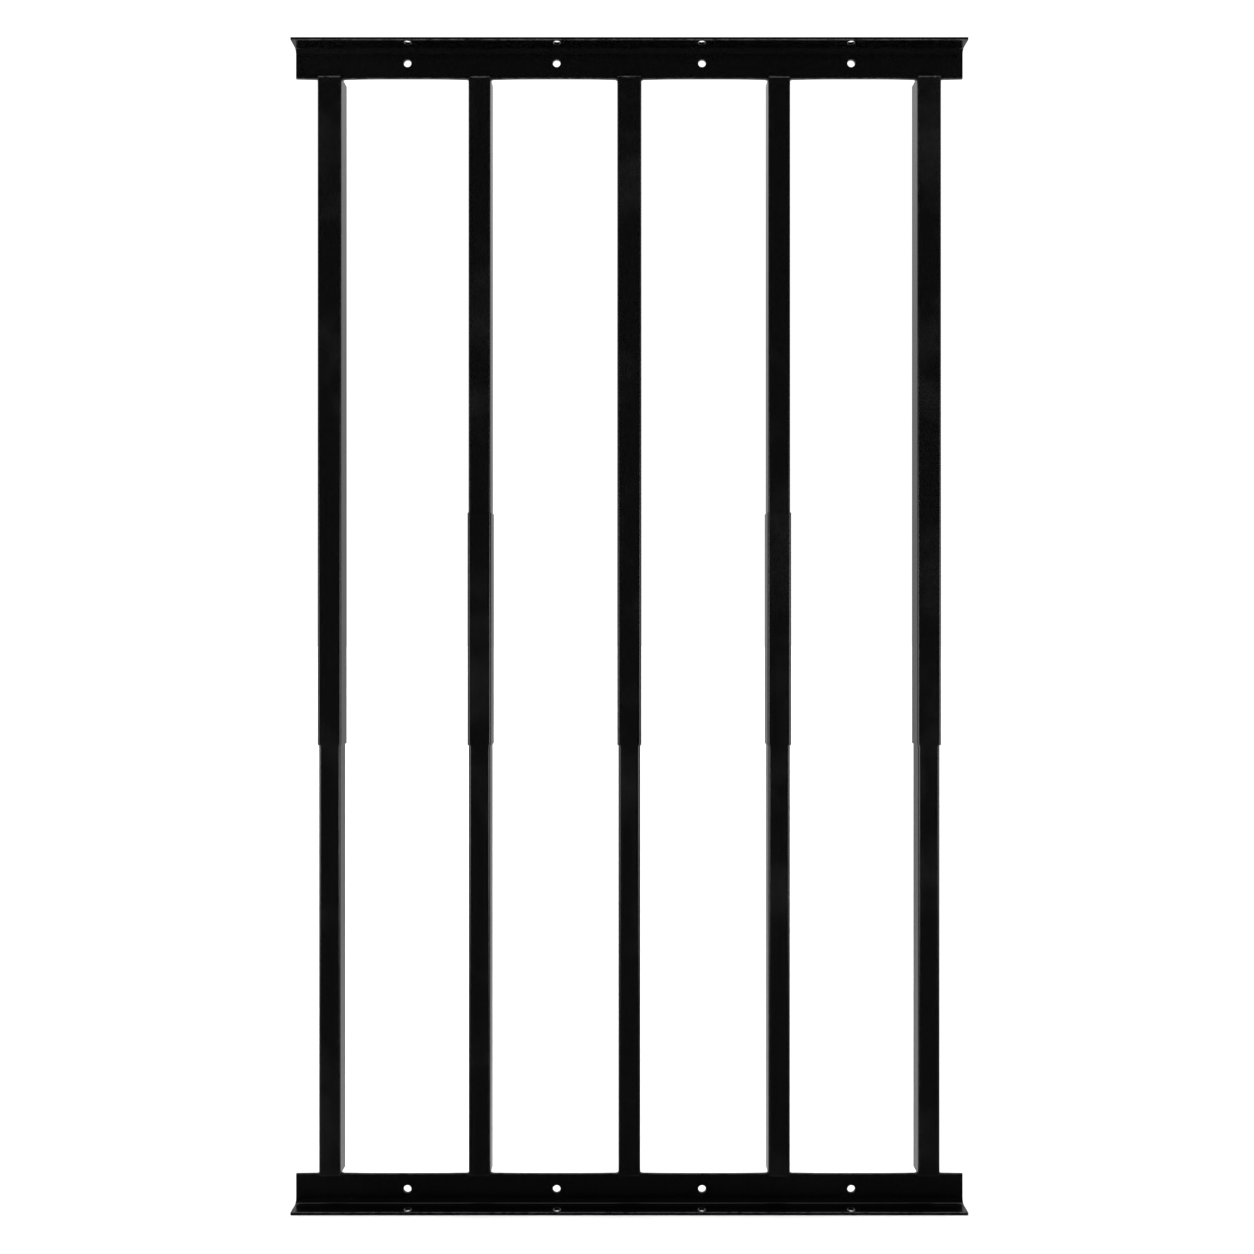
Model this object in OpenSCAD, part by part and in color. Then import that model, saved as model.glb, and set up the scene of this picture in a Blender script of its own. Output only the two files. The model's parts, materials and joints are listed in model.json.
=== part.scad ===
// Window security bar: a telescoping steel grille that guards a window opening.
//
// Two lengths of steel angle are the top and bottom rails. Five square-tube bars
// join them. The bottom rail carries five inner tubes. The top rail carries three
// full outer tubes and, on the second and fourth bars, a slimmer upper tube with a
// sleeve pressed onto its lower end. Every inner tube slides in the tube above it,
// so the whole grille is pulled taller or pushed shorter to suit the window.
//
// +X runs along the rails, -Y faces the room and +Z is up.
// The origin is the middle of the bottom rail's underside.

/* [Overall] */
// Height of the grille from the bottom rail's underside to the top rail's top face
grille_h = 1060; // [1000:1:1090]
// Length of each rail
rail_len = 610; // [590:1:700]

/* [Rails] */
// Height of the upright leg (flange) of the angle
flange_h = 29; // [26:0.5:40]
// Width of the level leg of the angle, which points into the room
leg_w = 20; // [20:0.5:30]
// Thickness of both legs
rail_t = 2.5; // [2:0.1:3.5]
// Radius of the fillet in the root of the angle
root_r = 4.5; // [1:0.1:4.5]
// Radius on the free edges of both legs
toe_r = 0.8; // [0.2:0.1:0.9]

/* [Fixing holes] */
// Diameter of every fixing hole
hole_d = 7.0; // [4:0.1:8.5]
// Height of the flange's holes above the heel of the angle
flange_gauge = 15; // [13:0.5:20]
// Distance of the level leg's holes from the heel of the angle
leg_gauge = 14.5; // [13:0.5:15]
// Spacing of the outer pair of holes in each flange
flange_pair_outer = 406; // [380:1:430]
// Spacing of the inner pair of holes in each flange
flange_pair_inner = 133; // [110:1:160]
// Spacing of the outer pair of holes in each level leg
leg_pair_outer = 401; // [380:1:430]
// Spacing of the inner pair of holes in each level leg
leg_pair_inner = 131; // [110:1:160]

/* [Bars] */
// Distance between the centres of neighbouring bars
bar_pitch = 136.8; // [120:0.2:139]
// Width across the flats of the outer tubes and the sleeves
outer_w = 22.2; // [20:0.1:26]
// Corner radius of the outer tubes and the sleeves
outer_r = 2.4; // [2.2:0.1:3]
// Wall thickness of every tube
tube_wall = 0.9; // [0.8:0.1:1.2]
// How much rounder the slimmer tubes' corners are than the bore they fit in
corner_ease = 0.3; // [0.3:0.1:0.8]
// Clearance on each side between an inner tube and the tube it slides in
slide_gap = 0.1; // [0.05:0.01:0.2]
// How far the outer tubes' front faces stand in front of the flange
bar_proud = 4; // [3:0.1:6]

/* [Telescope] */
// Height of the outer tubes' and sleeves' lower ends above the rail's underside
outer_foot_z = 421.3; // [380:0.1:460]
// Length of each sleeve
sleeve_len = 212.4; // [190:0.1:230]
// Length of each upper tube that is pressed into its sleeve
upper_grip = 50; // [30:1:60]
// Length of each inner tube that is inside the tube above it at this height
inner_grip = 70; // [40:1:100]

/* [Welds] */
// Height of the weld bead along the ledge in front of each bar's end
ledge_bead_h = 2.6; // [1:0.1:3.5]
// Leg length of the small fillet weld on each side of a bar's end
side_bead = 1.9; // [1:0.1:2.5]

/* [Hidden] */

// Straight segments in each rounded corner, and in each weld bead's crown
corner_steps = 6;
// Sides given to a fixing hole
hole_sides = 48;
// How far a cutting tool runs past the face that it cuts
cut_past = 1;

// Bore of the outer tubes and the sleeves
bore_w = outer_w - 2 * tube_wall;
bore_r = outer_r - tube_wall;
// The slimmer tubes: an upper tube fills its sleeve's bore, an inner tube slides
upper_w = bore_w;
inner_w = bore_w - 2 * slide_gap;
slim_r = bore_r + corner_ease;

// Planes of the rails: the heel's back face and the flange's front face
heel_y = leg_w / 2;
flange_front_y = heel_y - rail_t;
// Axis of every bar
bar_y = flange_front_y - bar_proud + outer_w / 2;
// Heights of the two flange edges that the bars are welded to
lower_edge_z = flange_h;
upper_edge_z = grille_h - flange_h;

// Heights at which the tubes end inside each other
sleeve_top_z = outer_foot_z + sleeve_len;
upper_foot_z = sleeve_top_z - upper_grip;
inner_top_z = outer_foot_z + inner_grip;

black = [0.05, 0.05, 0.055];
weld_black = [0.09, 0.09, 0.1];

// Distance along X of bar n, counted from 1 at the left
function bar_x(n) = (n - 3) * bar_pitch;

// Points on a circular arc about centre c, from angle a0 to angle a1
function arc(c, r, a0, a1) = [
    for (i = [0:corner_steps])
        let (a = a0 + (a1 - a0) * i / corner_steps)
        [c[0] + r * cos(a), c[1] + r * sin(a)]
];

// Outline of a square of width w with corners of radius r
function rounded_square(w, r) = [
    for (q = [0:3])
        let (a = 90 * q + 45, d = (w / 2 - r) * sqrt(2))
        each arc([d * cos(a), d * sin(a)], r, a - 45, a + 45)
];

// Outline of the angle section as [Y, Z], heel at the lower right
function angle_section() = concat(
    arc([heel_y - toe_r, flange_h - toe_r], toe_r, 0, 90),
    arc([flange_front_y + toe_r, flange_h - toe_r], toe_r, 90, 180),
    arc([flange_front_y - root_r, rail_t + root_r], root_r, 0, -90),
    arc([-heel_y + toe_r, rail_t - toe_r], toe_r, 90, 180),
    [[-heel_y, 0], [heel_y, 0]]
);

// Section of the ledge bead as [Y, Z]: a quarter of an ellipse in the corner
// between the flange's front face and a ledge of the given depth in front of it
function ledge_bead_section(depth) = concat(
    [[flange_front_y, 0]],
    [
        for (i = [0:corner_steps])
            let (a = 90 * i / corner_steps)
            [flange_front_y - depth * cos(a), ledge_bead_h * sin(a)]
    ]
);

// Square tube of width w standing on Z, from z0 up to z1, on bar n's axis
module square_tube(n, w, r, z0, z1) {
    translate([bar_x(n), bar_y, z0])
        linear_extrude(height = z1 - z0)
            difference() {
                polygon(rounded_square(w, r));
                polygon(rounded_square(w - 2 * tube_wall, r - tube_wall));
            }
}

// A pair of holes at +-spacing/2 along X, each a cylinder that runs up Z
module hole_pair(spacing, length) {
    for (side = [-1, 1])
        translate([side * spacing / 2, 0, 0])
            cylinder(d = hole_d, h = length, $fn = hole_sides);
}

// One rail of steel angle with its fixing holes, lying as the bottom rail
module rail() {
    drill_len = rail_t + 2 * cut_past;
    difference() {
        translate([-rail_len / 2, 0, 0])
            rotate([90, 0, 90])
                linear_extrude(height = rail_len)
                    polygon(angle_section());
        // Holes through the flange, front to back
        translate([0, heel_y + cut_past, flange_gauge])
            rotate([90, 0, 0]) {
                hole_pair(flange_pair_outer, drill_len);
                hole_pair(flange_pair_inner, drill_len);
            }
        // Holes through the level leg, bottom to top
        translate([0, heel_y - leg_gauge, -cut_past]) {
            hole_pair(leg_pair_outer, drill_len);
            hole_pair(leg_pair_inner, drill_len);
        }
    }
}

// Quarter-round fillet weld in the corner between the flange's edge, on Z = 0,
// and a bar's side face, on X = 0. It runs along Y, as long as the flange is thick
module side_fillet() {
    translate([0, heel_y, 0])
        rotate([90, 0, 0])
            linear_extrude(height = rail_t)
                polygon(concat([[0, 0]], arc([0, 0], side_bead, 0, 90)));
}

// Weld beads that join a tube of width w and corner radius r to a flange edge on
// Z = 0, for a rail that lies below the bar
module weld_beads(w, r) {
    front_y = bar_y - w / 2;
    bead_len = w - 2 * r;
    // Along the ledge: the bead lies below the flange's edge, in front of the flange
    translate([-bead_len / 2, 0, 0])
        mirror([0, 0, 1])
            rotate([90, 0, 90])
                linear_extrude(height = bead_len)
                    polygon(ledge_bead_section(flange_front_y - front_y));
    // On both sides of the bar, above the flange's edge
    for (side = [0, 1])
        mirror([side, 0, 0])
            translate([w / 2, 0, 0])
                side_fillet();
}

module top_rail() {
    color(black)
        translate([0, 0, grille_h])
            mirror([0, 0, 1])
                rail();
}

module bottom_rail() {
    color(black)
        rail();
}

module outer_tube(n) {
    color(black)
        square_tube(n, outer_w, outer_r, outer_foot_z, upper_edge_z);
}

module upper_tube(n) {
    color(black)
        square_tube(n, upper_w, slim_r, upper_foot_z, upper_edge_z);
}

module sleeve(n) {
    color(black)
        square_tube(n, outer_w, outer_r, outer_foot_z, sleeve_top_z);
}

module inner_tube(n) {
    color(black)
        square_tube(n, inner_w, slim_r, lower_edge_z, inner_top_z);
}

// The first, third and fifth bars meet the top rail with an outer tube, and the
// second and fourth with the slimmer upper tube
module top_weld(n) {
    slim = n % 2 == 0;
    color(weld_black)
        translate([bar_x(n), 0, upper_edge_z])
            mirror([0, 0, 1])
                weld_beads(slim ? upper_w : outer_w, slim ? slim_r : outer_r);
}

module bottom_weld(n) {
    color(weld_black)
        translate([bar_x(n), 0, lower_edge_z])
            weld_beads(inner_w, slim_r);
}

top_rail();
bottom_rail();
outer_tube(1);  // outer_tube_1
outer_tube(3);  // outer_tube_3
outer_tube(5);  // outer_tube_5
upper_tube(2);  // upper_tube_2
upper_tube(4);  // upper_tube_4
sleeve(2);  // sleeve_2
sleeve(4);  // sleeve_4
inner_tube(1);  // inner_tube_1
inner_tube(2);  // inner_tube_2
inner_tube(3);  // inner_tube_3
inner_tube(4);  // inner_tube_4
inner_tube(5);  // inner_tube_5
top_weld(1);  // top_weld_1
top_weld(2);  // top_weld_2
top_weld(3);  // top_weld_3
top_weld(4);  // top_weld_4
top_weld(5);  // top_weld_5
bottom_weld(1);  // bottom_weld_1
bottom_weld(2);  // bottom_weld_2
bottom_weld(3);  // bottom_weld_3
bottom_weld(4);  // bottom_weld_4
bottom_weld(5);  // bottom_weld_5
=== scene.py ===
"""Window security bar: the finished surfaces and the studio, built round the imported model.

Metres throughout: +X runs along the rails, -Y faces the room and +Z is up. Each rail is an
angle section carried along X with its screw holes punched in, each tube is a wall section
carried round a rounded square, and each weld bead is a fillet section carried along its seam.
Every surface is worked out on a numpy grid together with its true normals.
"""

import json
import logging
import math
from collections.abc import Sequence
from dataclasses import dataclass, replace
from enum import Enum

import bpy
import numpy as np
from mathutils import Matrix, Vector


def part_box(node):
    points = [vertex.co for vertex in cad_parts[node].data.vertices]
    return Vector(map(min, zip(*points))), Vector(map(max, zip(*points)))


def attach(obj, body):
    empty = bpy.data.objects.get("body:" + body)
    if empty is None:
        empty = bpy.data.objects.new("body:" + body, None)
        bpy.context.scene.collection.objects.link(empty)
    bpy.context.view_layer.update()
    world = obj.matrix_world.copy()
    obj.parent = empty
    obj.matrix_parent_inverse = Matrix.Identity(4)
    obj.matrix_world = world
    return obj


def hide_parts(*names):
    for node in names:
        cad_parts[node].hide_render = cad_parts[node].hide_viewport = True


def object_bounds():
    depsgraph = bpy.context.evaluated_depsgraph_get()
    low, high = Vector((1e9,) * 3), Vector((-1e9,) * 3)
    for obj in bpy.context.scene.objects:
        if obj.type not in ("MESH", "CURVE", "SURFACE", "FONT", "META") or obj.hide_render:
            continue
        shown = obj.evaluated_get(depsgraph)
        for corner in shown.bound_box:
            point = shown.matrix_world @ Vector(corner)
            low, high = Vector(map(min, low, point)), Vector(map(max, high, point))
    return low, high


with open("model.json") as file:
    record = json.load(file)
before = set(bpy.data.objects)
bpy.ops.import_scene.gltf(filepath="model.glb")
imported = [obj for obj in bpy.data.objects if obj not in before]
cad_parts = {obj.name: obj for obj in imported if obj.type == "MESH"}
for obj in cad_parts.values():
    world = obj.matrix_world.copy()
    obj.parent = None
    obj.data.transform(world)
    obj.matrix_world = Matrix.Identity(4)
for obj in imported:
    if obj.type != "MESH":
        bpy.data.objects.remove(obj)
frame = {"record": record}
CAD_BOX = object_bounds()

MM = 0.001
WELD_CELL = 2e-7
WELD_SHIFT = 0.37
TINY = 1e-12
TOUCHING = 1e-9
FACING = 0.999
BARS = range(1, 6)
ONE_WIDTH_BARS = (1, 3, 5)
SLEEVED_BARS = (2, 4)
Array = np.ndarray
log = logging.getLogger("window_guard")


class Body(Enum):
    """The two halves of the guard that slide on each other."""

    LOWER = "lower_frame"
    UPPER = "upper_frame"


class Coat(Enum):
    """The record's material slots."""

    RAIL = "rail_coat"
    OUTER_TUBE = "outer_tube_coat"
    INNER_TUBE = "inner_tube_coat"
    WELD = "weld_coat"


class Leg(Enum):
    """The two legs of a rail's angle section, by the axis that their holes run along."""

    FLANGE = 1
    LEVEL = 2


# ---------------------------------------------------------------------------------------
# Surfaces
# ---------------------------------------------------------------------------------------


@dataclass
class Surface:
    """Points with their true normals, and the quads between them.

    edge is 1 on a rounded edge and 0 on a flat. The coats paint a paler coat there, partly worn
    coating and partly painted highlight; on a weld bead edge holds the painted highlight of its
    crest. bore is 0 on what the coating reached and rises to 1 deep inside a tube.
    """

    points: Array
    normals: Array
    quads: Array
    edge: Array
    bore: Array

    @staticmethod
    def join(parts: Sequence["Surface"]) -> "Surface":
        """One surface from several, with every point kept.

        Args:
            parts: the surfaces to put together.

        Returns:
            The joined surface.
        """
        starts = np.cumsum([0] + [len(p.points) for p in parts[:-1]])
        return Surface(
            points=np.concatenate([p.points for p in parts]),
            normals=np.concatenate([p.normals for p in parts]),
            quads=np.concatenate([p.quads + s for p, s in zip(parts, starts)]),
            edge=np.concatenate([p.edge for p in parts]),
            bore=np.concatenate([p.bore for p in parts]),
        )

    def welded(self) -> "Surface":
        """The same surface with the points that coincide made one, so that its seams close.

        Points are put in cells far smaller than any detail. What shares a cell becomes its
        first point, with the mean of the normals and marks. A point of no face is left out.

        Returns:
            The closed surface.
        """
        cells = np.floor(self.points / WELD_CELL + WELD_SHIFT).astype(np.int64)
        _, first, owner = np.unique(cells, axis=0, return_index=True, return_inverse=True)
        owner = owner.ravel()
        shares = np.bincount(owner)
        normals = np.stack([np.bincount(owner, self.normals[:, k]) for k in range(3)], axis=1)
        normals /= np.maximum(np.linalg.norm(normals, axis=1, keepdims=True), TINY)
        used, quads = np.unique(owner[self.quads], return_inverse=True)
        return Surface(
            points=self.points[first][used],
            normals=normals[used],
            quads=quads.reshape(-1, 4),
            edge=(np.bincount(owner, self.edge) / shares)[used],
            bore=(np.bincount(owner, self.bore) / shares)[used],
        )

    def outward(self) -> "Surface":
        """The same surface, its quads all turned over if they face against the normals.

        A quad's face normal is the cross product of its two diagonals. The quads of a grid
        agree with each other, so the sum over all of them says which way they face.

        Returns:
            The surface, wound outwards.
        """
        corner = self.points[self.quads]
        facing = np.cross(corner[:, 2] - corner[:, 0], corner[:, 3] - corner[:, 1])
        agreement = np.sum(facing * self.normals[self.quads].sum(axis=1))
        quads = self.quads if agreement >= 0 else self.quads[:, ::-1]
        return Surface(self.points, self.normals, quads, self.edge, self.bore)

    def polygons(self) -> list[list[int]]:
        """The faces as index lists, a quad with two corners in one point as a triangle.

        Returns:
            The corners of each face, all whole quads before the triangles.
        """
        doubled = self.quads == np.roll(self.quads, -1, axis=1)
        whole = self.quads[~doubled.any(axis=1)]
        pinched = self.quads[doubled.sum(axis=1) == 1]
        at = np.argmax(pinched == np.roll(pinched, -1, axis=1), axis=1)
        order = (at[:, None] + 1 + np.arange(3)) % 4
        return whole.tolist() + np.take_along_axis(pinched, order, axis=1).tolist()

    def to_object(self, name: str, material: bpy.types.Material) -> bpy.types.Object:
        """A Blender object at the origin that holds this surface.

        Args:
            name: the piece's name.
            material: its one material, which reads the edge and bore attributes.

        Returns:
            The linked object.
        """
        closed = self.welded()
        mesh = bpy.data.meshes.new(name)
        mesh.from_pydata(closed.points.tolist(), [], closed.polygons())
        for mark in ("edge", "bore"):
            layer = mesh.attributes.new(mark, "FLOAT", "POINT")
            layer.data.foreach_set("value", getattr(closed, mark).astype(np.float32))
        mesh.polygons.foreach_set("use_smooth", np.ones(len(mesh.polygons), bool))
        mesh.normals_split_custom_set_from_vertices(closed.normals.tolist())
        mesh.materials.append(material)
        mesh.update()
        piece = bpy.data.objects.new(name, mesh)
        bpy.context.scene.collection.objects.link(piece)
        return piece


def grid_surface(
    points: Array,
    normals: Array,
    edge: Array,
    bore: Array,
    closed: tuple[bool, bool] = (False, False),
    keep: Array | None = None,
) -> Surface:
    """The quads of a grid of points, cell (i, j) between rows i, i+1 and columns j, j+1.

    Args:
        points: rows by columns by 3.
        normals: the same shape as points.
        edge: rows by columns, or what broadcasts to it.
        bore: rows by columns, or what broadcasts to it.
        closed: whether the rows and the columns run round to the first again.
        keep: rows by columns of cells to keep; a left-out cell is a hole in the grid.

    Returns:
        The surface, with one point per grid point.
    """
    rows, columns = points.shape[:2]
    i = np.arange(rows if closed[0] else rows - 1)
    j = np.arange(columns if closed[1] else columns - 1)
    i, j = (a.ravel() for a in np.meshgrid(i, j, indexing="ij"))
    if keep is not None:
        wanted = keep[i, j]
        i, j = i[wanted], j[wanted]
    i_next, j_next = (i + 1) % rows, (j + 1) % columns
    quads = np.stack(
        [i * columns + j, i_next * columns + j, i_next * columns + j_next, i * columns + j_next],
        axis=1,
    )
    shape = (rows, columns)
    return Surface(
        points=points.reshape(-1, 3),
        normals=normals.reshape(-1, 3),
        quads=quads,
        edge=np.broadcast_to(edge, shape).ravel().astype(float),
        bore=np.broadcast_to(bore, shape).ravel().astype(float),
    ).outward()


# ---------------------------------------------------------------------------------------
# Outlines
# ---------------------------------------------------------------------------------------


@dataclass
class Outline:
    """Points of a flat outline with their outward normals, and how far each is on an edge."""

    points: Array
    normals: Array
    edge: Array

    @staticmethod
    def arc(
        centre: Sequence[float],
        radius: float,
        sweep: tuple[float, float],
        steps: int,
        hollow: bool = False,
    ) -> "Outline":
        """A circular arc: centre plus radius times the unit vector at each angle.

        Args:
            centre: the arc's centre.
            radius: its radius.
            sweep: first and last angle in degrees.
            steps: segments along it.
            hollow: True for a root fillet, whose outward normal points to its centre.

        Returns:
            The arc, marked as an edge that is strongest in its middle.
        """
        share = np.linspace(0.0, 1.0, steps + 1)
        angle = np.radians(sweep[0] + (sweep[1] - sweep[0]) * share)
        away = np.stack([np.cos(angle), np.sin(angle)], axis=1)
        edge = np.zeros(steps + 1) if hollow else np.sin(np.pi * share)
        return Outline(np.asarray(centre) + radius * away, -away if hollow else away, edge)

    @staticmethod
    def flat(points: Array, normal: Sequence[float]) -> "Outline":
        """The points of a straight stretch, which share one normal."""
        normals = np.tile(normal, (len(points), 1)).astype(float)
        return Outline(points, normals, np.zeros(len(points)))

    @staticmethod
    def chain(runs: Sequence["Outline"]) -> "Outline":
        """Several runs end to end.

        Args:
            runs: the runs in order.

        Returns:
            One outline with every point kept.
        """
        return Outline(
            np.concatenate([r.points for r in runs]),
            np.concatenate([r.normals for r in runs]),
            np.concatenate([r.edge for r in runs]),
        )

    def reversed(self) -> "Outline":
        """The same outline walked the other way."""
        return Outline(self.points[::-1], self.normals[::-1], self.edge[::-1])

    def inset(self, depth: float) -> Array:
        """The points moved inwards by depth along their normals."""
        return self.points - depth * self.normals


def lattice(middle: float, reach: float, step: float) -> Array:
    """Evenly spaced stations from middle - reach to middle + reach, about step apart."""
    half = max(1, round(reach / step))
    return middle + reach * np.arange(-half, half + 1) / half


def merged_stations(groups: Sequence[Array], apart: float = 1e-6) -> Array:
    """All stations in order, where two closer together than apart count as one."""
    every = np.sort(np.concatenate(groups))
    return every[np.concatenate([[True], np.diff(every) > apart])]


# ---------------------------------------------------------------------------------------
# Finishes
# ---------------------------------------------------------------------------------------


class NodeBoard:
    """A node tree, with short ways to add and link nodes."""

    def __init__(self, tree: bpy.types.NodeTree) -> None:
        """Starts with an empty tree.

        Args:
            tree: the tree of a material or of the world.
        """
        self.tree = tree
        self.tree.nodes.clear()

    def add(self, kind: str, **settings: object) -> bpy.types.Node:
        """Adds a node and sets its properties.

        Args:
            kind: the node's type name.
            settings: properties by name.

        Returns:
            The node.
        """
        node = self.tree.nodes.new(kind)
        for key, value in settings.items():
            setattr(node, key, value)
        return node

    def link(self, source: bpy.types.NodeSocket, target: bpy.types.NodeSocket) -> None:
        """Links an output to an input."""
        self.tree.links.new(source, target)

    def put(self, value: bpy.types.NodeSocket | float, target: bpy.types.NodeSocket) -> None:
        """Links an output to an input, or sets the input to a number.

        Args:
            value: the output or the number.
            target: the input.
        """
        if isinstance(value, bpy.types.NodeSocket):
            self.link(value, target)
        else:
            target.default_value = value

    def compute(
        self, operation: str, *values: bpy.types.NodeSocket | float
    ) -> bpy.types.NodeSocket:
        """One sum, product or other operation.

        Args:
            operation: the operation's name.
            values: its values, each an output or a number.

        Returns:
            The result.
        """
        node = self.add("ShaderNodeMath", operation=operation)
        for socket, value in zip(node.inputs, values):
            self.put(value, socket)
        return node.outputs[0]

    def remap(
        self,
        value: bpy.types.NodeSocket,
        source: tuple[float, float],
        target: tuple[float, float] = (0.0, 1.0),
        curve: str = "LINEAR",
    ) -> bpy.types.NodeSocket:
        """A value carried from one range to another and held at the target's ends.

        Args:
            value: the value.
            source: the range that it comes from.
            target: the range that it goes to.
            curve: LINEAR, or SMOOTHSTEP for a step with soft ends.

        Returns:
            The carried value.
        """
        node = self.add("ShaderNodeMapRange", clamp=True, interpolation_type=curve)
        self.link(value, node.inputs["Value"])
        for key, number in zip(("From Min", "From Max", "To Min", "To Max"), source + target):
            node.inputs[key].default_value = number
        return node.outputs["Result"]


class FinishBoard(NodeBoard):
    """The node tree of a material with one Principled shader."""

    def __init__(self, name: str) -> None:
        """Makes a material with a Principled shader and its output.

        Args:
            name: the material's name.
        """
        self.material = bpy.data.materials.new(name)
        self.material.use_nodes = True
        super().__init__(self.material.node_tree)
        output = self.add("ShaderNodeOutputMaterial")
        self.shader = self.add("ShaderNodeBsdfPrincipled")
        self.link(self.shader.outputs["BSDF"], output.inputs["Surface"])
        self.place = self.add("ShaderNodeTexCoord").outputs["Object"]

    def attribute(self, name: str) -> bpy.types.NodeSocket:
        """The value of a mesh attribute at the shaded point."""
        return self.add("ShaderNodeAttribute", attribute_name=name).outputs["Fac"]

    def stretched(self, scale: tuple[float, float, float]) -> bpy.types.NodeSocket:
        """Object coordinates times a scale along each axis.

        Args:
            scale: the scale along X, Y and Z.

        Returns:
            The scaled coordinates.
        """
        mapping = self.add("ShaderNodeMapping")
        mapping.inputs["Scale"].default_value = scale
        self.link(self.place, mapping.inputs["Vector"])
        return mapping.outputs["Vector"]

    def noise(
        self,
        scale: float,
        detail: float = 2.0,
        rough: float = 0.5,
        where: bpy.types.NodeSocket | None = None,
    ) -> bpy.types.NodeSocket:
        """Fractal noise from about 0 to 1.

        Args:
            scale: features per metre of the coordinates.
            detail: octaves above the first.
            rough: how strong each next octave is.
            where: coordinates other than the object's own.

        Returns:
            The noise value.
        """
        node = self.add("ShaderNodeTexNoise")
        node.inputs["Scale"].default_value = scale
        node.inputs["Detail"].default_value = detail
        node.inputs["Roughness"].default_value = rough
        self.link(where or self.place, node.inputs["Vector"])
        return node.outputs["Fac"]

    def blend(
        self,
        share: bpy.types.NodeSocket,
        first: tuple[float, float, float] | bpy.types.NodeSocket,
        second: tuple[float, float, float],
    ) -> bpy.types.NodeSocket:
        """A mix of two colours.

        Args:
            share: 0 for the first colour and 1 for the second.
            first: the first colour, or the output that gives it.
            second: the second colour.

        Returns:
            The mixed colour.
        """
        node = self.add("ShaderNodeMix", data_type="RGBA")
        self.link(share, node.inputs["Factor"])
        colours = [s for s in node.inputs if s.type == "RGBA"]
        self.put(first if isinstance(first, bpy.types.NodeSocket) else (*first, 1.0), colours[0])
        self.put((*second, 1.0), colours[1])
        return next(s for s in node.outputs if s.type == "RGBA")

    def bump(
        self,
        height: bpy.types.NodeSocket,
        depth: float,
        under: bpy.types.NodeSocket | None = None,
    ) -> bpy.types.NodeSocket:
        """The normal of a relief.

        Args:
            height: the relief, from 0 to 1.
            depth: its depth in metres.
            under: the normal of a relief that it lies on.

        Returns:
            The bent normal.
        """
        node = self.add("ShaderNodeBump")
        node.inputs["Strength"].default_value = 1.0
        node.inputs["Distance"].default_value = depth
        self.link(height, node.inputs["Height"])
        if under is not None:
            self.link(under, node.inputs["Normal"])
        return node.outputs["Normal"]


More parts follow.
